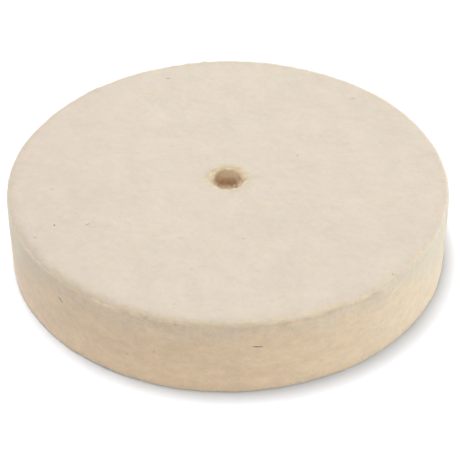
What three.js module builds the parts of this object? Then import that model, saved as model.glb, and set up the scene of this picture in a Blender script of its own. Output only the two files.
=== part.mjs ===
// A felt polishing wheel: one thick disc of hard-pressed wool felt with a plain through bore for the
// arbor of a polishing spindle. Millimetres, +Z up. The wheel lies flat, its bore along Z, and the
// origin is the centre of the bore on the lower face.
import * as THREE from "three";

// Driving dimensions: a wheel of 4 in by 3/4 in with a 5/16 in bore.
const INCH = 25.4;
const OUTER_RADIUS = (4 * INCH) / 2;
const THICKNESS = (3 / 4) * INCH;
const BORE_RADIUS = ((5 / 16) * INCH) / 2;

// The cut edges of felt are never sharp: the rim is rounded at both faces, and so are the bore's mouths.
// The face the wheel lies on has the crisper rim.
const UPPER_RIM_ROUND = 0.9;
const LOWER_RIM_ROUND = 0.4;
const MOUTH_ROUND = 0.5;

// How finely the round shapes are faceted.
const TURN_SEGMENTS = 96;
const ARC_DIVISIONS = 2;

const QUARTER = Math.PI / 2;

// Half of the wheel's section, drawn in the plane of radius (x) and height (y), as one closed outline:
// out along the lower face, up the rim, in along the upper face and down the bore's wall.
function wheelSection() {
  const lowerRim = new THREE.Vector2(OUTER_RADIUS - LOWER_RIM_ROUND, LOWER_RIM_ROUND);
  const upperRim = new THREE.Vector2(OUTER_RADIUS - UPPER_RIM_ROUND, THICKNESS - UPPER_RIM_ROUND);
  const upperMouth = new THREE.Vector2(BORE_RADIUS + MOUTH_ROUND, THICKNESS - MOUTH_ROUND);
  const lowerMouth = new THREE.Vector2(BORE_RADIUS + MOUTH_ROUND, MOUTH_ROUND);

  const section = new THREE.Shape();
  section.moveTo(lowerMouth.x, 0);
  section.lineTo(lowerRim.x, 0);
  section.absarc(lowerRim.x, lowerRim.y, LOWER_RIM_ROUND, -QUARTER, 0);
  section.lineTo(OUTER_RADIUS, upperRim.y);
  section.absarc(upperRim.x, upperRim.y, UPPER_RIM_ROUND, 0, QUARTER);
  section.lineTo(upperMouth.x, THICKNESS);
  section.absarc(upperMouth.x, upperMouth.y, MOUTH_ROUND, QUARTER, 2 * QUARTER);
  section.lineTo(BORE_RADIUS, lowerMouth.y);
  section.absarc(lowerMouth.x, lowerMouth.y, MOUTH_ROUND, 2 * QUARTER, 3 * QUARTER);
  return section.getPoints(ARC_DIVISIONS);
}

// Undyed wool felt, cream and quite matt.
function woolFelt() {
  return new THREE.MeshStandardMaterial({ color: 0xe4d8c6, roughness: 0.97, metalness: 0 });
}

// The whole wheel: the section turned about the bore's axis, which LatheGeometry keeps on Y.
function feltDisc() {
  const geometry = new THREE.LatheGeometry(wheelSection(), TURN_SEGMENTS);
  geometry.rotateX(QUARTER);
  const disc = new THREE.Mesh(geometry, woolFelt());
  disc.name = "felt_disc";
  return disc;
}

const wheel = new THREE.Group();
wheel.add(feltDisc());

export default wheel;
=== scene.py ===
import math
from collections import namedtuple
from types import SimpleNamespace

import bpy
import numpy as np
from mathutils import Matrix, Vector, noise


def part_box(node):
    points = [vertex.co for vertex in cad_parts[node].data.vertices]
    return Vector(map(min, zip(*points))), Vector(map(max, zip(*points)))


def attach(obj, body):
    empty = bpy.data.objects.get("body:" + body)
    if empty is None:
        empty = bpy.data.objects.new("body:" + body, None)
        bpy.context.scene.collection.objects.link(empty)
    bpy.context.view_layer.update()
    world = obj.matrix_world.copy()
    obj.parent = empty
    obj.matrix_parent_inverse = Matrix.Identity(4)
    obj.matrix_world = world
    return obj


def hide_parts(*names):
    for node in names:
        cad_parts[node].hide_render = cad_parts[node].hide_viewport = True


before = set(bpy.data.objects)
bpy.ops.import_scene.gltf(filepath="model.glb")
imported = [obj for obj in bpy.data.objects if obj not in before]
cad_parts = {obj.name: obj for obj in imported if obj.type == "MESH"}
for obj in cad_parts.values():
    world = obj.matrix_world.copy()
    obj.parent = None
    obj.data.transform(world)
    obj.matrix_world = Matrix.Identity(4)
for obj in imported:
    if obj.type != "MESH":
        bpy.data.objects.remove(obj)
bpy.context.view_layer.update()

MM = 0.001
QUARTER_TURN = math.pi / 2
FULL_TURN = 2 * math.pi
SEED = 20

# The wheel's main sizes, read from the CAD model.
disc_low, disc_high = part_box("felt_disc")
OUTER = (disc_high.x - disc_low.x) / 2
BOTTOM = disc_low.z
TOP = disc_high.z
BORE = min(math.hypot(v.co.x, v.co.y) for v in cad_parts["felt_disc"].data.vertices)

# How round the felt's edges are.
UPPER_RIM_ROUND = 0.9 * MM
LOWER_RIM_ROUND = 0.4 * MM
MOUTH_ROUND = 0.6 * MM

# How finely the felt is meshed: along the wall, the upper face and the bore, along the lower face, and
# round the edges. A ring has RIM_SEGMENTS, or half or a quarter of them within these radii.
FINE_STEP = 0.48 * MM
COARSE_STEP = 2.0 * MM
ARC_STEP = 0.24 * MM
RIM_SEGMENTS = 640
HALF_WITHIN = 26 * MM
QUARTER_WITHIN = 13 * MM

# How far the upper rim is worn back along its edge, on the right and on the left, and over what width. The
# wear grows leftward from the wheel's middle, and is full from WORN_FULLY_FROM on.
WORN_RIGHT = 0.12 * MM
WORN_LEFT = 0.44 * MM
WORN_WIDTH = 3.0 * MM
WORN_FULLY_FROM = 0.6 * OUTER
# The direction, from the axis, of the side where the painted shade along that rim's edge is darkest and
# widest: the front left.
RIM_SHADE_SIDE = (-0.6, -0.8, 0)

# The bumps of pressed wool, as (width of a bump, its height), from slow waves to grain. The rims and the
# bore have more of their own, which fade out at these distances from them.
FACE_BUMPS = ((22 * MM, 0.12 * MM), (5 * MM, 0.035 * MM), (1.5 * MM, 0.025 * MM))
RIM_BUMPS = ((4.0 * MM, 0.12 * MM), (1.6 * MM, 0.09 * MM))
RIM_BUMPS_REACH = 2 * MM
LOWER_RIM_SHARE = 0.5
BORE_BUMPS = ((2.6 * MM, 0.20 * MM), (0.9 * MM, 0.28 * MM))
BORE_BUMPS_REACH = 1.5 * MM
# The noise that makes them: how fast its finer layers fade, how much finer each is, and how many it has.
NOISE_FADING = 0.9
NOISE_RATIO = 2.1
NOISE_LAYERS = 3


# ---------------------------------------------------------------- the felt's surface

# A point of the wheel's section, which is a ring of its surface, and the direction that faces out there.
Ring = namedtuple("Ring", "radius height out_radius out_height")

# The section's corners, in order round it. side is 1 at the rim and -1 at the bore, end is 1 above and -1
# below, and step is the step of the straight stretch that follows.
Corner = namedtuple("Corner", "radius height side end rounding step")
CORNERS = (
    Corner(OUTER, BOTTOM, 1, -1, LOWER_RIM_ROUND, FINE_STEP),
    Corner(OUTER, TOP, 1, 1, UPPER_RIM_ROUND, FINE_STEP),
    Corner(BORE, TOP, -1, 1, MOUTH_ROUND, FINE_STEP),
    Corner(BORE, BOTTOM, -1, -1, MOUTH_ROUND, COARSE_STEP),
)


def between(ring, after, share):
    """The ring that lies a share of the way from one ring to another."""
    return Ring(*(a + (b - a) * share for a, b in zip(ring, after)))


def corner_arc(number, corner):
    """The rings round one corner. It starts facing the way that the corner before it ended."""
    radius = corner.radius - corner.side * corner.rounding
    height = corner.height - corner.end * corner.rounding
    count = max(3, round(corner.rounding * QUARTER_TURN / ARC_STEP))
    rings = []
    for k in range(count + 1):
        turn = QUARTER_TURN * (number - 1 + k / count)
        out = (math.cos(turn), math.sin(turn))
        rings.append(Ring(radius + corner.rounding * out[0], height + corner.rounding * out[1], *out))
    return rings


def straight_stretch(start, end, step):
    """The rings between the end of one corner and the start of the next."""
    length = math.hypot(end.radius - start.radius, end.height - start.height)
    count = round(length / step)
    return [between(start, end, k / count) for k in range(1, count)]


def turned_section():
    """The wheel's closed section, as a list of rings."""
    arcs = [corner_arc(number, corner) for number, corner in enumerate(CORNERS)]
    section = []
    for corner, arc, next_arc in zip(CORNERS, arcs, arcs[1:] + arcs[:1]):
        section += arc
        section += straight_stretch(arc[-1], next_arc[0], corner.step)
    return section


def segments_at(radius):
    """How many segments a ring has: fewer near the bore, where they would crowd."""
    if radius > HALF_WITHIN:
        return RIM_SEGMENTS
    if radius > QUARTER_WITHIN:
        return RIM_SEGMENTS // 2
    return RIM_SEGMENTS // 4


def nearness(distance, reach):
    """1 at no distance, and down to 0 from the reach on."""
    return max(0.0, 1 - distance / reach)


def bumps(place, kinds):
    """How high the wool's bumps of these kinds are at a place."""
    height = 0
    for width, rise in kinds:
        height += rise * noise.fractal(place / width, NOISE_FADING, NOISE_RATIO, NOISE_LAYERS)
    return height


def felt_relief(place, ring):
    """How far the pressed wool stands out from the true turned surface."""
    from_upper_rim = math.hypot(ring.radius - OUTER, ring.height - TOP)
    from_lower_rim = math.hypot(ring.radius - OUTER, ring.height - BOTTOM)
    above = nearness(from_upper_rim, RIM_BUMPS_REACH)
    below = nearness(from_lower_rim, RIM_BUMPS_REACH)
    relief = bumps(place, FACE_BUMPS)
    relief += (above + LOWER_RIM_SHARE * below) * bumps(place, RIM_BUMPS)
    leftward = min(1.0, max(0.0, -place.x / WORN_FULLY_FROM))
    edge = nearness(from_upper_rim, WORN_WIDTH)
    relief -= (WORN_RIGHT + (WORN_LEFT - WORN_RIGHT) * leftward) * edge * edge
    relief += nearness(ring.radius - BORE, BORE_BUMPS_REACH) * bumps(place, BORE_BUMPS)
    return relief


def surface_point(ring, angle):
    """The felt's surface, bumps and all, where a ring meets an angle, and its outward direction there."""
    across = Vector((math.cos(angle), math.sin(angle), 0))
    out = across * ring.out_radius + Vector((0, 0, ring.out_height))
    place = across * ring.radius + Vector((0, 0, ring.height))
    point = place + out * felt_relief(place, ring)
    point.z = max(point.z, BOTTOM)
    return point, out


def stitch(first, first_count, second, second_count):
    """The faces between two rings of vertices, given by their first vertex and how many they have. One
    ring may have twice as many as the other."""
    faces = []
    if first_count == second_count:
        for k in range(first_count):
            step = (k + 1) % first_count
            faces.append((first + k, first + step, second + step, second + k))
        return faces
    fine, coarse = (first, second) if first_count > second_count else (second, first)
    fine_count, coarse_count = max(first_count, second_count), min(first_count, second_count)
    for k in range(coarse_count):
        a, b = coarse + k, coarse + (k + 1) % coarse_count
        p, q, r = (fine + (2 * k + j) % fine_count for j in range(3))
        fan = ((p, q, a), (q, b, a), (q, r, b))
        faces += fan if fine == first else [tuple(reversed(face)) for face in fan]
    return faces


def new_piece(name, vertices, faces, material):
    """A smooth mesh object that rides on the wheel's one body and doesn't reach below the lower face."""
    for vertex in vertices:
        vertex.z = max(vertex.z, BOTTOM)
    mesh = bpy.data.meshes.new(name)
    mesh.from_pydata(vertices, [], faces)
    mesh.polygons.foreach_set("use_smooth", [True] * len(mesh.polygons))
    mesh.materials.append(material)
    mesh.update()
    piece = bpy.data.objects.new(name, mesh)
    bpy.context.scene.collection.objects.link(piece)
    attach(piece, "root")
    return piece


def felt_body(section, material):
    """The whole wheel as one closed skin of felt, in place of the CAD model's plain disc."""
    vertices, starts, counts = [], [], []
    for ring in section:
        count = segments_at(ring.radius)
        starts.append(len(vertices))
        counts.append(count)
        vertices += [surface_point(ring, FULL_TURN * k / count)[0] for k in range(count)]
    faces = []
    for k in range(len(section)):
        after = (k + 1) % len(section)
        faces += stitch(starts[k], counts[k], starts[after], counts[after])
    body = new_piece("felt_body", vertices, faces, material)
    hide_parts("felt_disc")


# ---------------------------------------------------------------- loose wool fibres

# Fibres: how thick they are, how thick the tip is as a share of the root, and the places along a fibre,
# from its root at 0 to its tip at 1, that its path goes through.
THICKNESSES = (0.020 * MM, 0.038 * MM)
TIP_SHARE = 0.35
PATH_SHARES = (0, 0.25, 0.5, 0.75, 1)
STRAND_SIDES = 3
WALL_FIBRE_TILT = math.radians(12)
ROOT_DEPTH = 0.06 * MM

# Tufts: how many fibres in one, how far they spread, how deep they are rooted, and between which shares of
# the outer radius, along X, they thin out to none.
TUFT_FIBRES = 12
TUFT_SPREAD = 0.22 * MM
TUFT_ROOT_DEPTH = 0.08 * MM
THINNING_FROM = 0.40
THINNING_TO = 0.80

# Shortest and longest fibres.
LYING = (1.2 * MM, 3.6 * MM)
STANDING = (0.4 * MM, 1.2 * MM)
TUFTED = (0.5 * MM, 1.2 * MM)
AT_THE_MOUTH = (0.6 * MM, 1.8 * MM)
OVER_THE_HOLE = (0.5 * MM, 1.5 * MM)
IN_THE_BORE = (0.4 * MM, 1.1 * MM)

# A ring lies on a face or on the wall if it faces up, down or out by at least this much.
SQUARELY = 0.95


def random_spots(random, section, wanted, count):
    """count places spread evenly by area over the rings for which wanted(ring) is true."""
    rings = [k for k, ring in enumerate(section) if wanted(ring)]
    weights = []
    for k in rings:
        ring, after = section[k], section[(k + 1) % len(section)]
        weights.append(ring.radius * math.hypot(after.radius - ring.radius, after.height - ring.height))
    shares = np.array(weights) / sum(weights)
    spots = []
    for k in random.choice(rings, size=count, p=shares):
        ring = between(section[k], section[(k + 1) % len(section)], random.random())
        spots.append(surface_point(ring, random.uniform(0, FULL_TURN)))
    return spots


def tangents(random, out):
    """Two directions at right angles to out and to each other, turned by a random angle."""
    across = out.orthogonal().normalized()
    other = out.cross(across)
    angle = random.uniform(0, FULL_TURN)
    along = across * math.cos(angle) + other * math.sin(angle)
    return along, out.cross(along)


def risen(share, droop):
    """How high a fibre has risen at a share of its length, if its tip droops."""
    return share - droop * share * share


def lying_path(random, point, out, length):
    """A fibre that lies on the felt in any direction."""
    along, side = tangents(random, out)
    return bent_path(random, point, out, along, side, length)


def level_path(random, point, out, length):
    """A fibre on the cut wall, cut short and nearly level, as pressed wool lies in layers."""
    tilt = random.normal(0, WALL_FIBRE_TILT)
    level = Vector((-out.y, out.x, 0)).normalized()
    along = level * math.cos(tilt) + Vector((0, 0, math.sin(tilt)))
    return bent_path(random, point, out, along, out.cross(along), length * 0.5)


def bent_path(random, point, out, along, side, length):
    """A fibre that lies on the felt, bent a little, with both its ends tucked in."""
    bend = random.uniform(-0.25, 0.25) * length
    lift = random.uniform(0.005, 0.02) * MM
    sunk = 0.012 * MM
    path = []
    for share in PATH_SHARES:
        arch = 4 * share * (1 - share)
        flat = along * (share - 0.5) * length + side * bend * arch
        path.append(point + flat + out * (lift * arch - sunk))
    return path


def standing_path(random, point, out, length):
    """A fibre rooted in the felt whose free end stands out and curls over."""
    along, side = tangents(random, out)
    rise = random.uniform(0.25, 0.7) * length
    curl = random.uniform(-0.3, 0.3) * length
    reach = 0.6
    path = []
    for share in PATH_SHARES:
        up = rise * risen(share, 0.45) - ROOT_DEPTH
        path.append(point + out * up + along * length * reach * share + side * curl * share * share)
    return path


def overhanging_path(random, point, out, length):
    """A fibre rooted at the bore's mouth that leans in over the hole."""
    inward = Vector((-point.x, -point.y, 0)).normalized()
    sideways = Vector((inward.y, -inward.x, 0))
    lean = inward + sideways * random.normal(0, 0.6)
    rise = random.uniform(0.5, 1.2)
    path = []
    for share in PATH_SHARES:
        up = Vector((0, 0, rise * risen(share, 0.4)))
        path.append(point + (lean * share + up) * length - out * ROOT_DEPTH)
    return path


def strand(vertices, faces, path, thickness):
    """Adds one thin, closed strand along a path, narrowing towards its last point."""
    first = len(vertices)
    for k, point in enumerate(path):
        ahead = (path[min(k + 1, len(path) - 1)] - path[max(k - 1, 0)]).normalized()
        one = ahead.orthogonal().normalized()
        two = ahead.cross(one)
        share = k / (len(path) - 1)
        half = thickness / 2 * (1 - (1 - TIP_SHARE) * share * share)
        for j in range(STRAND_SIDES):
            turn = FULL_TURN * j / STRAND_SIDES
            vertices.append(point + (one * math.cos(turn) + two * math.sin(turn)) * half)
    last = len(vertices) - STRAND_SIDES
    for start in range(first, last, STRAND_SIDES):
        faces += stitch(start, STRAND_SIDES, start + STRAND_SIDES, STRAND_SIDES)
    faces.append(tuple(first + j for j in reversed(range(STRAND_SIDES))))
    faces.append(tuple(last + j for j in range(STRAND_SIDES)))


def fibres(name, section, wanted, count, path_of, lengths, material, seed):
    """One piece of many loose fibres over part of the wheel."""
    random = np.random.default_rng(SEED + seed)
    vertices, faces = [], []
    for point, out in random_spots(random, section, wanted, count):
        path = path_of(random, point, out, random.uniform(*lengths))
        strand(vertices, faces, path, random.uniform(*THICKNESSES))
    new_piece(name, vertices, faces, material)


def tuft(random, vertices, faces, point, out):
    """Adds one bunch of fibres that stand out side by side and lean the same way."""
    along, side = tangents(random, out)
    length = random.uniform(*TUFTED)
    rise = random.uniform(0.1, 0.4)
    for _ in range(TUFT_FIBRES):
        apart = random.normal(0, TUFT_SPREAD, 2)
        root = point + along * apart[0] + side * apart[1] - out * TUFT_ROOT_DEPTH
        lean = along * random.uniform(0.5, 1.0) + side * random.normal(0, 0.3)
        reach = length * random.uniform(0.6, 1.1)
        path = [root + (out * rise * risen(share, 0.4) + lean * share) * reach for share in PATH_SHARES]
        strand(vertices, faces, path, random.uniform(*THICKNESSES))


def tufts(name, section, wanted, count, material, seed):
    """One piece of tufts, which thin out towards the wheel's two sides, at large X."""
    random = np.random.default_rng(SEED + seed)
    vertices, faces = [], []
    for point, out in random_spots(random, section, wanted, count):
        thinned = (abs(point.x) / OUTER - THINNING_FROM) / (THINNING_TO - THINNING_FROM)
        if random.random() >= thinned:
            tuft(random, vertices, faces, point, out)
    new_piece(name, vertices, faces, material)


# Where the loose wool is rooted: each tells whether a ring belongs to one part of the wheel.


def on_top(ring):
    return ring.out_height > SQUARELY


def on_wall(ring):
    return ring.out_radius > SQUARELY


def on_bottom(ring):
    return ring.out_height < -SQUARELY


def on_upper_rim(ring):
    return ring.radius > OUTER - 2.2 * MM and ring.height > TOP - 2.2 * MM


def under_upper_edge(ring):
    return ring.radius > OUTER - 0.5 * MM and TOP - 1.4 * MM < ring.height < TOP - 0.4 * MM


def on_lower_rim(ring):
    return ring.radius > OUTER - 1.5 * MM and ring.height < BOTTOM + 1.5 * MM


def on_mouth(ring):
    return ring.radius < BORE + 0.4 * MM and TOP - 1.0 * MM < ring.height < TOP - 0.1 * MM


def round_mouth(ring):
    return ring.radius < BORE + 0.7 * MM and ring.height > TOP - 1.2 * MM


def in_bore(ring):
    return ring.radius < BORE + 1.6 * MM


def loose_wool(section, felt, tuft_wool):
    """Every patch of loose wool on the wheel. The last number of each is its own random seed."""
    fibres("face_fibres", section, on_top, 2600, lying_path, LYING, felt, 1)
    fibres("wall_fibres", section, on_wall, 2200, level_path, LYING, felt, 2)
    fibres("upper_rim_fuzz", section, on_upper_rim, 2600, standing_path, STANDING, felt, 3)
    tufts("upper_rim_tufts", section, under_upper_edge, 480, tuft_wool, 9)
    tufts("mouth_tufts", section, on_mouth, 30, tuft_wool, 10)
    fibres("mouth_fuzz", section, round_mouth, 600, standing_path, AT_THE_MOUTH, felt, 11)
    fibres("mouth_fringe", section, on_mouth, 520, overhanging_path, OVER_THE_HOLE, felt, 12)
    fibres("lower_rim_fuzz", section, on_lower_rim, 1200, standing_path, STANDING, felt, 4)
    fibres("bore_fibres", section, in_bore, 700, standing_path, IN_THE_BORE, felt, 5)
    fibres("under_fibres", section, on_bottom, 1500, lying_path, LYING, felt, 6)


# ---------------------------------------------------------------- specks of burr in the wool

# Specks on the upper face: place as shares of the outer radius, length, width, direction in degrees.
DARK_FACE_SPECKS = (
    (-0.757, -0.340, 0.5 * MM, 0.26 * MM, 80),
    (0.323, 0.170, 0.4 * MM, 0.24 * MM, 100),
    (0.689, -0.685, 0.4 * MM, 0.22 * MM, 90),
)
FAINT_FACE_SPECKS = (
    (-0.292, 0.833, 1.1 * MM, 0.30 * MM, 10),
    (-0.790, -0.077, 0.8 * MM, 0.22 * MM, 20),
    (-0.612, -0.337, 1.3 * MM, 0.14 * MM, 40),
    (-0.833, -0.425, 0.9 * MM, 0.14 * MM, 160),
    (0.068, -0.442, 0.8 * MM, 0.16 * MM, 15),
    (0.612, 0.638, 1.5 * MM, 0.14 * MM, 5),
    (-0.221, -0.867, 0.6 * MM, 0.20 * MM, 60),
)
# Specks on the wall: angle from the front in degrees, share of the height, length, width, tilt.
DARK_WALL_SPECKS = (
    (-45.0, 0.70, 1.7 * MM, 0.22 * MM, -32),
    (6.8, 0.67, 2.3 * MM, 0.19 * MM, -7),
)
FAINT_WALL_SPECKS = (
    (-18.0, 0.50, 0.6 * MM, 0.24 * MM, 70),
    (-25.0, 0.36, 0.5 * MM, 0.20 * MM, 40),
)
# Specks at random on the hidden lower face: how many, their shortest and longest, and their width.
HIDDEN_SPECKS = 14
HIDDEN_LENGTHS = (0.4 * MM, 1.3 * MM)
HIDDEN_WIDTH = 0.2 * MM

# A speck's shape: where it has a ring of vertices along its length, how many sides it has, how thick it is
# at its tips, and how flat and how bent it is, as shares of its width.
SPECK_SHARES = (-0.5, -0.32, -0.1, 0.14, 0.34, 0.5)
SPECK_SIDES = 6
SPECK_TIP = 0.02 * MM
SPECK_FLATNESS = 0.45
SPECK_BEND = 0.8


def speck(vertices, faces, point, out, along, length, width):
    """Adds one bit of burr: a flat, bent spindle half sunk in the wool."""
    side = out.cross(along)
    first = len(vertices)
    for share in SPECK_SHARES:
        half = width / 2 * math.sqrt(max(0.0, 1 - (2 * share) ** 2)) + SPECK_TIP
        middle = point + along * share * length + side * width * SPECK_BEND * share * share
        for j in range(SPECK_SIDES):
            turn = FULL_TURN * j / SPECK_SIDES
            across = side * half * math.cos(turn)
            vertices.append(middle + across + out * half * SPECK_FLATNESS * math.sin(turn))
    last = len(vertices) - SPECK_SIDES
    for start in range(first, last, SPECK_SIDES):
        for j in range(SPECK_SIDES):
            a, b = start + j, start + (j + 1) % SPECK_SIDES
            faces.append((a, a + SPECK_SIDES, b + SPECK_SIDES, b))
    faces.append(tuple(first + j for j in range(SPECK_SIDES)))
    faces.append(tuple(last + j for j in reversed(range(SPECK_SIDES))))


def burr_specks(name, section, on_face, on_sides, seed, material):
    """The bits of plant that stay in the wool: those that show, by place, and others at random on the
    hidden lower face."""
    vertices, faces = [], []
    for x, y, length, width, degrees in on_face:
        ring = Ring(math.hypot(x, y) * OUTER, TOP, 0, 1)
        point, out = surface_point(ring, math.atan2(y, x))
        turn = math.radians(degrees)
        along = Vector((math.cos(turn), math.sin(turn), 0))
        speck(vertices, faces, point, out, along, length, width)
    for degrees, share, length, width, tilt in on_sides:
        angle, slope = math.radians(degrees - 90), math.radians(tilt)
        ring = Ring(OUTER, BOTTOM + share * (TOP - BOTTOM), 1, 0)
        point, out = surface_point(ring, angle)
        level = Vector((-math.sin(angle), math.cos(angle), 0))
        along = level * math.cos(slope) + Vector((0, 0, math.sin(slope)))
        speck(vertices, faces, point, out, along, length, width)
    random = np.random.default_rng(SEED + seed)
    for point, out in random_spots(random, section, on_bottom, HIDDEN_SPECKS):
        along, _ = tangents(random, out)
        speck(vertices, faces, point, out, along, random.uniform(*HIDDEN_LENGTHS), HIDDEN_WIDTH)
    new_piece(name, vertices, faces, material)


# ---------------------------------------------------------------- shader nodes

# Most of a noise texture's values lie between these two.
NOISE_RANGE = (0.3, 0.7)


def add(tree, kind, inputs=(), **settings):
    """A new node with its settings. inputs maps a socket's name or number to a value or another socket,
    and a colour is given as its red, green and blue."""
    node = tree.nodes.new(kind)
    for name, value in settings.items():
        setattr(node, name, value)
    for name, value in dict(inputs).items():
        socket = node.inputs[name]
        if isinstance(value, bpy.types.NodeSocket):
            tree.links.new(value, socket)
        elif socket.type == "RGBA":
            socket.default_value = (*value, 1)
        else:
            socket.default_value = value
    return node


def new_material(name):
    """A material with nothing in it but a Principled shader and its output."""
    material = bpy.data.materials.new(name)
    material.use_nodes = True
    tree = material.node_tree
    return material, tree, tree.nodes["Principled BSDF"]


def own_place(tree):
    """The place on the wheel, which moves with it."""
    return add(tree, "ShaderNodeTexCoord").outputs["Object"]


def bump_up(tree, shader, strength, distance, height):
    """Gives a shader a fine relief."""
    inputs = {"Strength": strength, "Distance": distance, "Height": height}
    tree.links.new(add(tree, "ShaderNodeBump", inputs).outputs["Normal"], shader.inputs["Normal"])


def mix(tree, factor, first, second):
    """The first colour where the factor is 0, and the second where it is 1."""
    return add(tree, "ShaderNodeMix", {0: factor, 6: first, 7: second}, data_type="RGBA").outputs[2]


def ramp(tree, value, start, end, low=0.0, high=1.0):
    """low where value is start or less, high where it is end or more, and smooth between."""
    inputs = {"Value": value, "From Min": start, "From Max": end, "To Min": low, "To Max": high}
    return add(tree, "ShaderNodeMapRange", inputs, interpolation_type="SMOOTHSTEP").outputs["Result"]


def wool_noise(tree, place, width, detail=3.0, distortion=0.0):
    """Noise from 0 to 1 whose blotches are about as wide as width."""
    inputs = {"Vector": place, "Scale": 1 / width, "Detail": detail, "Distortion": distortion}
    return add(tree, "ShaderNodeTexNoise", inputs).outputs["Fac"]


def shade_by(tree, colour, factor):
    return add(tree, "ShaderNodeVectorMath", {0: colour, "Scale": factor}, operation="SCALE").outputs[0]


def scaled(tree, vector, factors):
    """A place or a colour with each of its three parts multiplied by a factor of its own."""
    return add(tree, "ShaderNodeVectorMath", {0: vector, 1: factors}, operation="MULTIPLY").outputs[0]


def calculate(tree, operation, first, second):
    return add(tree, "ShaderNodeMath", {0: first, 1: second}, operation=operation).outputs[0]


def plus(tree, first, second):
    return calculate(tree, "ADD", first, second)


def minus(tree, first, second):
    return calculate(tree, "SUBTRACT", first, second)


def times(tree, first, second):
    return calculate(tree, "MULTIPLY", first, second)


def mottle(tree, place, width, amount, detail, distortion):
    """Brightness factors that wander by amount to both sides of 1."""
    blotches = wool_noise(tree, place, width, detail, distortion)
    return ramp(tree, blotches, *NOISE_RANGE, 1 - amount, 1 + amount)


def dark_spots(tree, place, width, detail, distortion, sparse, full, darkest):
    """Brightness factors of 1, but down to darkest where the noise rises from sparse to full."""
    return ramp(tree, wool_noise(tree, place, width, detail, distortion), sparse, full, 1.0, darkest)


# ---------------------------------------------------------------- materials

FACE_CREAM = (0.553, 0.482, 0.400)
RIM_YELLOW = (0.545, 0.465, 0.340)
WALL_UPPER = (0.585, 0.473, 0.346)
WALL_LOWER = (0.614, 0.471, 0.318)
MOUTH_YELLOW = (0.548, 0.468, 0.345)
# Painted light and shade in the bore: a tan brighter than any felt near its top, and brown further down.
BORE_PAINTED_LIGHT_TAN = (0.940, 0.805, 0.590)
BORE_PAINTED_SHADE_BROWN = (0.750, 0.475, 0.262)
# The tufts' own yellow, painted paler as painted light against the bunches' self-shade.
TUFT_YELLOW_PAINTED_PALE = (0.565, 0.490, 0.385)
DARK_BURR = ((0.11, 0.078, 0.050), (0.28, 0.21, 0.14))
FAINT_BURR = ((0.36, 0.28, 0.20), (0.50, 0.41, 0.31))
SHEEN_CREAM = (1.0, 0.95, 0.88)

# Factors that tint the wool in patches, and painted shade that makes the left side darker and pinker.
PINKISH = (1.006, 0.996, 1.002)
YELLOWISH = (0.997, 1.001, 0.985)
LEFT_PAINTED_SHADE = (0.975, 0.955, 0.965)
UNTINTED = (1, 1, 1)

# The wool is flattened in layers, so its larger marks are lower than they are wide.
LAYERING = (1, 1, 1.7)
# The loose fibres are painted this many times as bright as the felt, as painted light against their own
# shade, and light goes this far into the felt.
LOOSE_PAINTED_LIGHT = 1.05
LIGHT_DEPTH = 1.6 * MM
# The mottling all over: width, amount, detail and distortion of each layer.
MOTTLING = (
    (9 * MM, 0.018, 4, 0.5),
    (2.4 * MM, 0.022, 4, 0.9),
    (0.6 * MM, 0.022, 3, 1.8),
)


def felt_spot(tree):
    """Where a spot of the felt lies. depth is measured from the nearer face. past_rim and past_mouth grow
    from the face, round its edge and down, and are 0 in the middle of the rounding. from_rim and past_rim
    wander a little, so that colours meet raggedly along the rim."""
    place = own_place(tree)
    apart = add(tree, "ShaderNodeSeparateXYZ", {0: place}).outputs
    flat = scaled(tree, place, (1, 1, 0))
    radius = add(tree, "ShaderNodeVectorMath", {0: flat}, operation="LENGTH").outputs["Value"]
    below_top = minus(tree, TOP, apart["Z"])
    above_bottom = minus(tree, apart["Z"], BOTTOM)
    depth = calculate(tree, "MINIMUM", below_top, above_bottom)
    wander = ramp(tree, wool_noise(tree, place, 1.3 * MM, 3, 0.8), 0.34, 0.66, -0.4 * MM, 0.4 * MM)
    from_rim = plus(tree, minus(tree, radius, OUTER), wander)
    return SimpleNamespace(
        place=place,
        layered=scaled(tree, place, LAYERING),
        x=apart["X"],
        aside=calculate(tree, "ABSOLUTE", apart["X"], 0),
        below_top=below_top,
        above_bottom=above_bottom,
        depth=depth,
        from_rim=from_rim,
        past_rim=plus(tree, depth, from_rim),
        past_mouth=plus(tree, depth, minus(tree, BORE, radius)),
    )


def wall_colour(tree, spot):
    """The cut wall: tan, greyer near its top, patchy, pitted and torn, with painted light that pales its
    foot.
    """
    sway = ramp(tree, wool_noise(tree, spot.place, 7 * MM, 4, 0.8), *NOISE_RANGE, -1.6 * MM, 1.6 * MM)
    band = ramp(tree, plus(tree, spot.below_top, sway), 1.6 * MM, 6.4 * MM)
    wall = mix(tree, band, WALL_UPPER, WALL_LOWER)
    patches = mottle(tree, spot.layered, 7 * MM, 0.035, 3, 0.6)
    streaks = mottle(tree, spot.layered, 2.2 * MM, 0.035, 4, 0.4)
    grain = mottle(tree, spot.place, 0.6 * MM, 0.034, 4, 1.5)
    pits = dark_spots(tree, spot.place, 0.7 * MM, 2, 1.0, 0.66, 0.76, 0.88)
    wall = shade_by(tree, wall, times(tree, times(tree, patches, streaks), times(tree, grain, pits)))
    torn = dark_spots(tree, spot.place, 0.8 * MM, 3, 1.5, 0.54, 0.68, 0.90)
    near_top = ramp(tree, spot.below_top, 2.0 * MM, 6.0 * MM, 1.0, 0.0)
    wall = mix(tree, near_top, wall, shade_by(tree, wall, torn))
    # painted light: up to a tenth brighter at the foot, for the floor's bounce light lost in the contact
    # shadow
    return shade_by(tree, wall, ramp(tree, spot.above_bottom, 0.0, 7.0 * MM, 1.10, 1.0))


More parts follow.
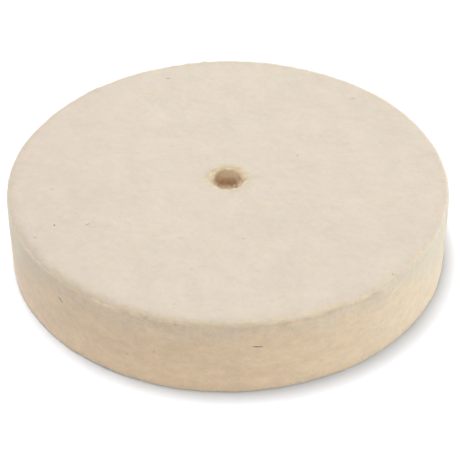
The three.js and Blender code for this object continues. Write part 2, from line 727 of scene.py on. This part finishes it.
def face_colour(tree, spot):
    """The pressed faces: cream, and yellower in patches near the rim and all along its edge. The patches
    are fainter at the two sides."""
    patchy = ramp(tree, wool_noise(tree, spot.place, 2.5 * MM, 3, 0.8), 0.4, 0.6, 0.2, 1.0)
    patchy = times(tree, patchy, ramp(tree, spot.aside, 0.6 * OUTER, 0.9 * OUTER, 1.0, 0.4))
    near_rim = times(tree, patchy, ramp(tree, spot.past_rim, -2.6 * MM, -0.8 * MM))
    near_rim = calculate(tree, "MAXIMUM", near_rim, ramp(tree, spot.past_rim, 0.0, 1.2 * MM))
    return mix(tree, near_rim, FACE_CREAM, RIM_YELLOW)


def bare_wall(tree, spot):
    """1 where the wall shows, and 0 where the faces' cream covers the felt. The faces' pale skin wraps about
    a millimetre over the edge; at the two sides, at large X, the upper face's cream goes on much further
    down the wall than at the front and back, as painted sheen and light."""
    # painted sheen and light: about 1 mm of skin at the front and back, up to 16 mm of cream at the sides
    painted_sheen_reach = ramp(tree, spot.aside, 0.6 * OUTER, OUTER, 1.0 * MM, 16.0 * MM)
    above = ramp(tree, plus(tree, spot.below_top, spot.from_rim), -0.5 * MM, painted_sheen_reach)
    below = ramp(tree, plus(tree, spot.above_bottom, spot.from_rim), -0.5 * MM, 1.0 * MM)
    return times(tree, above, below)


def with_painted_rim_shade(tree, spot, colour):
    """The colour with painted shade along the rims' rounded edges, darkest, and in a wider band, on the
    front left.
    """
    inputs = {0: spot.place, 1: RIM_SHADE_SIDE}
    along = add(tree, "ShaderNodeVectorMath", inputs, operation="DOT_PRODUCT").outputs["Value"]
    toward_shade_side = ramp(tree, along, 0.7 * OUTER, 0.97 * OUTER)
    inner = ramp(tree, toward_shade_side, 0, 1, -1.2 * MM, -2.8 * MM)
    outer = ramp(tree, toward_shade_side, 0, 1, 1.2 * MM, 0.6 * MM)
    band = ramp(tree, spot.past_rim, inner, -0.2 * MM)
    band = times(tree, band, ramp(tree, spot.past_rim, -0.4 * MM, outer, 1, 0))
    # painted shade: the rounded edges are darkened, most of all on the front left
    return mix(tree, band, colour, shade_by(tree, colour, ramp(tree, toward_shade_side, 0, 1, 0.93, 0.88)))


def with_bore_light_and_shade(tree, spot, colour):
    """The colour with the bore's: yellower round its mouth, then painted light in a tan brighter than the
    felt, and painted shade that browns it further down.
    """
    # painted shade: darker brown deeper in the bore
    bore = mix(tree, ramp(tree, spot.depth, 1.7 * MM, 4.6 * MM), BORE_PAINTED_LIGHT_TAN, BORE_PAINTED_SHADE_BROWN)
    colour = mix(tree, ramp(tree, spot.past_mouth, -2.4 * MM, -0.6 * MM), colour, MOUTH_YELLOW)
    # painted light: the bore's bright tan starts where its mouth rounds away from the light
    return mix(tree, ramp(tree, spot.past_mouth, -0.4 * MM, 0.4 * MM), colour, bore)


def mottled(tree, spot, colour):
    """The colour with the wool's unevenness, patches of hue, knots and mottling, and painted shade that
    makes the left side darker and a little pinker.
    """
    hues = ramp(tree, wool_noise(tree, spot.place, 4 * MM, 3, 0.6), 0.35, 0.65)
    colour = scaled(tree, colour, mix(tree, hues, PINKISH, YELLOWISH))
    colour = shade_by(tree, colour, dark_spots(tree, spot.place, 1.9 * MM, 2, 0.8, 0.68, 0.78, 0.945))
    # painted shade: the left side darker and a little pinker
    left_shade_fade = ramp(tree, spot.x, -OUTER, -0.3 * OUTER)
    colour = scaled(tree, colour, mix(tree, left_shade_fade, LEFT_PAINTED_SHADE, UNTINTED))
    for width, amount, detail, distortion in MOTTLING:
        colour = shade_by(tree, colour, mottle(tree, spot.layered, width, amount, detail, distortion))
    return colour


def felt_colour(tree, spot):
    """Cream on the pressed faces, tan on the cut wall, painted light and shade down the bore, and mottled
    all over.
    """
    colour = mix(tree, bare_wall(tree, spot), face_colour(tree, spot), wall_colour(tree, spot))
    # painted shade along the rims' edges, then painted light and shade down the bore
    colour = with_bore_light_and_shade(tree, spot, with_painted_rim_shade(tree, spot, colour))
    return mottled(tree, spot, colour)


def felt_material(name, brightness, light_depth):
    """Matt pressed wool: a soft sheen, no gloss and a fine fibrous bump. Light goes light_depth into it."""
    material, tree, shader = new_material(name)
    spot = felt_spot(tree)
    colour = shade_by(tree, felt_colour(tree, spot), brightness)
    tree.links.new(colour, shader.inputs["Base Color"])

    grain = wool_noise(tree, spot.place, 0.5 * MM, 4, 2.0)
    lumps = wool_noise(tree, spot.place, 1.6 * MM, 3, 1.0)
    bump_up(tree, shader, 0.30, 0.06 * MM, plus(tree, grain, lumps))
    tree.links.new(ramp(tree, grain, *NOISE_RANGE, 0.9, 1.0), shader.inputs["Roughness"])

    if light_depth:
        shader.inputs["Subsurface Weight"].default_value = 0.8
        shader.inputs["Subsurface Radius"].default_value = (1.0, 0.75, 0.5)
        shader.inputs["Subsurface Scale"].default_value = light_depth
    shader.inputs["Specular IOR Level"].default_value = 0.15
    shader.inputs["Sheen Weight"].default_value = 0.30
    shader.inputs["Sheen Roughness"].default_value = 0.6
    shader.inputs["Sheen Tint"].default_value = (*SHEEN_CREAM, 1)
    return material


def tuft_material():
    """The wool of the tufts: yellower than the felt they come out of, and painted paler, as painted light
    against the bunches' own shade.
    """
    material, tree, shader = new_material("tuft_wool")
    shade = ramp(tree, wool_noise(tree, own_place(tree), 2 * MM), 0.35, 0.65, 0.92, 1.06)
    tree.links.new(shade_by(tree, TUFT_YELLOW_PAINTED_PALE, shade), shader.inputs["Base Color"])
    shader.inputs["Roughness"].default_value = 0.9
    shader.inputs["Sheen Weight"].default_value = 0.2
    return material


def burr_material(name, dark, pale):
    """Dry bits of plant, patchy and dull."""
    material, tree, shader = new_material(name)
    patches = wool_noise(tree, own_place(tree), 0.4 * MM, 3, 0.5)
    colour = mix(tree, ramp(tree, patches, 0.35, 0.65), dark, pale)
    tree.links.new(colour, shader.inputs["Base Color"])
    bump_up(tree, shader, 0.4, 0.05 * MM, patches)
    shader.inputs["Roughness"].default_value = 0.8
    return material


# ---------------------------------------------------------------- the studio

FLOOR_HALF = 3.0
FLOOR_GAP = 0.02 * MM
FLOOR_BLOTCHES = 0.3
FLOOR_WHITE = (0.795, 0.812, 0.842)

# The room's own light. The left turns into the right between these two X parts of a direction, and the
# walls turn into the ceiling between these two Z parts.
ROOM_LEFT = (0.60, 0.60, 0.60)
ROOM_RIGHT = (5.3, 6.0, 6.4)
RIGHT_SIDE = (0.62, 1.0)
CEILING = (0.20, 0.20, 0.20)
OVER_THE_HORIZON = (0.08, 0.35)

SUN_WHITE = (1, 1, 1)
SKY_WHITE = (0.96, 0.99, 1.0)


def pale_floor():
    """A plain pale floor, just under the wheel."""
    material, tree, shader = new_material("pale_floor")
    tone = ramp(tree, wool_noise(tree, own_place(tree), FLOOR_BLOTCHES), *NOISE_RANGE, 0.99, 1.0)
    tree.links.new(shade_by(tree, FLOOR_WHITE, tone), shader.inputs["Base Color"])
    shader.inputs["Roughness"].default_value = 0.9
    shader.inputs["Specular IOR Level"].default_value = 0.1

    height = BOTTOM - FLOOR_GAP
    corners = [(x * FLOOR_HALF, y * FLOOR_HALF, height) for x, y in ((-1, -1), (1, -1), (1, 1), (-1, 1))]
    mesh = bpy.data.meshes.new("floor")
    mesh.from_pydata(corners, [], [(0, 1, 2, 3)])
    mesh.materials.append(material)
    floor = bpy.data.objects.new("floor", mesh)
    bpy.context.scene.collection.objects.link(floor)


def sun(name, towards, strength, degrees, colour):
    """A soft sun that shines from the direction towards; degrees is how wide it looks."""
    light = bpy.data.lights.new(name, "SUN")
    light.energy = strength
    light.angle = math.radians(degrees)
    light.color = colour
    lamp = bpy.data.objects.new(name, light)
    lamp.rotation_mode = "QUATERNION"
    lamp.rotation_quaternion = Vector(towards).to_track_quat("Z", "Y")
    bpy.context.scene.collection.objects.link(lamp)


def studio_light():
    """A soft light almost overhead, weak ones from the front and the right, and a pale room that is
    brightest near the horizon and on the right."""
    sun("overhead", (-0.10, 0.14, 1.0), 2.75, 20, SUN_WHITE)
    sun("from_front", (-0.15, -1.00, 0.80), 0.95, 40, SUN_WHITE)
    sun("from_right", (0.98, 0.18, 0.60), 0.4, 50, SKY_WHITE)

    world = bpy.data.worlds.new("pale_room")
    bpy.context.scene.world = world
    world.use_nodes = True
    tree = world.node_tree
    direction = add(tree, "ShaderNodeTexCoord").outputs["Generated"]
    towards = add(tree, "ShaderNodeSeparateXYZ", {0: direction}).outputs
    walls = mix(tree, ramp(tree, towards["X"], *RIGHT_SIDE), ROOM_LEFT, ROOM_RIGHT)
    glow = mix(tree, ramp(tree, towards["Z"], *OVER_THE_HORIZON), walls, CEILING)
    tree.links.new(glow, tree.nodes["Background"].inputs["Color"])


# The camera, fitted to how the wheel's outline looks: it stands straight in front of the wheel.
CAMERA_DISTANCE = 7.03 * OUTER
CAMERA_ELEVATION = math.radians(37.73)
CAMERA_ROLL = math.radians(-0.28)
CAMERA_LENS = 119.25
CAMERA_SENSOR = 36.0
CAMERA_NEAREST = 0.01
CAMERA_FARTHEST = 20
# Where the wheel's middle lies in the picture, as shares of its width from the centre, right and up.
MIDDLE_RIGHT = -0.0044
MIDDLE_UP = 0.0427


def camera():
    """A camera aimed so that the wheel's middle lies a little above the centre of the picture."""
    data = bpy.data.cameras.new("camera")
    data.lens = CAMERA_LENS
    data.sensor_width = CAMERA_SENSOR
    data.clip_start = CAMERA_NEAREST
    data.clip_end = CAMERA_FARTHEST
    middle = Vector((0, 0, (BOTTOM + TOP) / 2))
    away = Vector((0, -math.cos(CAMERA_ELEVATION), math.sin(CAMERA_ELEVATION)))
    place = middle + away * CAMERA_DISTANCE

    wide = CAMERA_DISTANCE * CAMERA_SENSOR / CAMERA_LENS
    right = Vector((1, 0, 0))
    up = Vector((0, math.sin(CAMERA_ELEVATION), math.cos(CAMERA_ELEVATION)))
    aim = middle - right * MIDDLE_RIGHT * wide - up * MIDDLE_UP * wide
    look = (aim - place).to_track_quat("-Z", "Y").to_matrix() @ Matrix.Rotation(CAMERA_ROLL, 3, "Z")
    viewer = bpy.data.objects.new("camera", data)
    viewer.matrix_world = Matrix.Translation(place) @ look.to_4x4()
    bpy.context.scene.collection.objects.link(viewer)
    bpy.context.scene.camera = viewer
    bpy.context.scene.view_settings.view_transform = "Standard"


# ---------------------------------------------------------------- the whole scene

section = turned_section()
felt_body(section, felt_material("pressed_wool", 1.0, LIGHT_DEPTH))
# the loose wool is the felt painted brighter: painted light
loose_wool(section, felt_material("loose_wool", LOOSE_PAINTED_LIGHT, 0), tuft_material())
dark_burr = burr_material("dark_burr", *DARK_BURR)
faint_burr = burr_material("faint_burr", *FAINT_BURR)
burr_specks("dark_specks", section, DARK_FACE_SPECKS, DARK_WALL_SPECKS, 7, dark_burr)
burr_specks("faint_specks", section, FAINT_FACE_SPECKS, FAINT_WALL_SPECKS, 8, faint_burr)
pale_floor()
studio_light()
camera()
